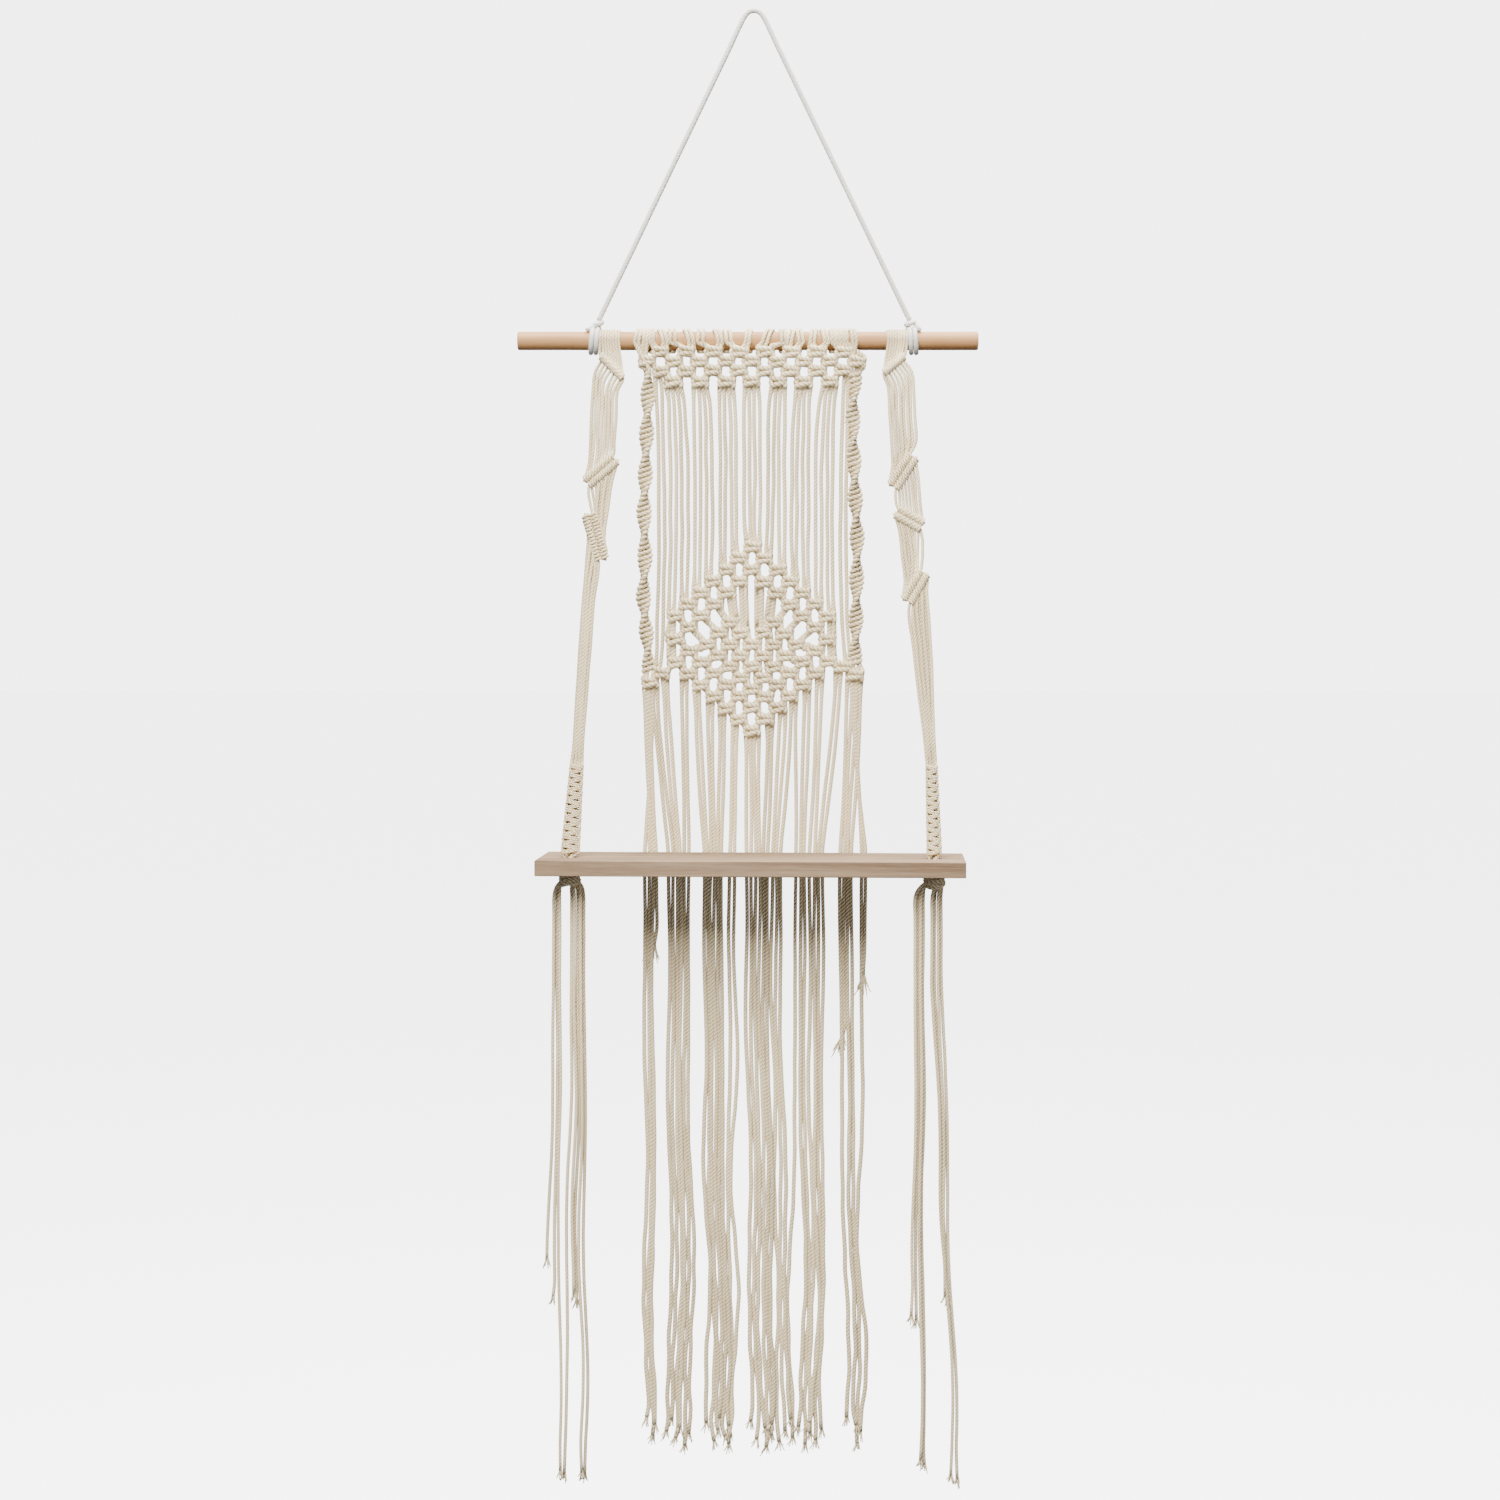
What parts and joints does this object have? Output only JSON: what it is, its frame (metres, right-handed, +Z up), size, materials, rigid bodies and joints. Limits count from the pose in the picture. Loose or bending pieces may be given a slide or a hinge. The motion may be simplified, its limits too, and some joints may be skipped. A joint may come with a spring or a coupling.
{
  "type": "macrame wall shelf with rod",
  "caption": "Knotted cotton wall hanging on a wooden rod, with a centre panel and fringe, and side straps that carry a plank shelf.",
  "frame": {"origin": "the point where the hanger cord bears on the hook or nail that holds the shelf up", "axes": "+Z up, +X to the viewer's right along the rod, the front of the panel and of the plank faces -Y"},
  "size_m": [0.45, 0.1211, 1.4177],
  "materials": {
    "rod_wood": "sanded, unvarnished, warm tan",
    "shelf_wood": "planed, unvarnished, pale greyish tan",
    "cotton": "matt twisted natural cotton",
    "hanger_cotton": "matt braided pale cotton"
  },
  "bodies": {
    "root": {"rod": "rod_wood", "shelf": "shelf_wood", "hanger_cord": "hanger_cotton", "hanger_hitch_left": "hanger_cotton", "hanger_hitch_right": "hanger_cotton", "panel": "cotton", "strap_left": "cotton", "strap_right": "cotton", "tassel_left": "cotton", "tassel_right": "cotton"}
  },
  "joints": []
}
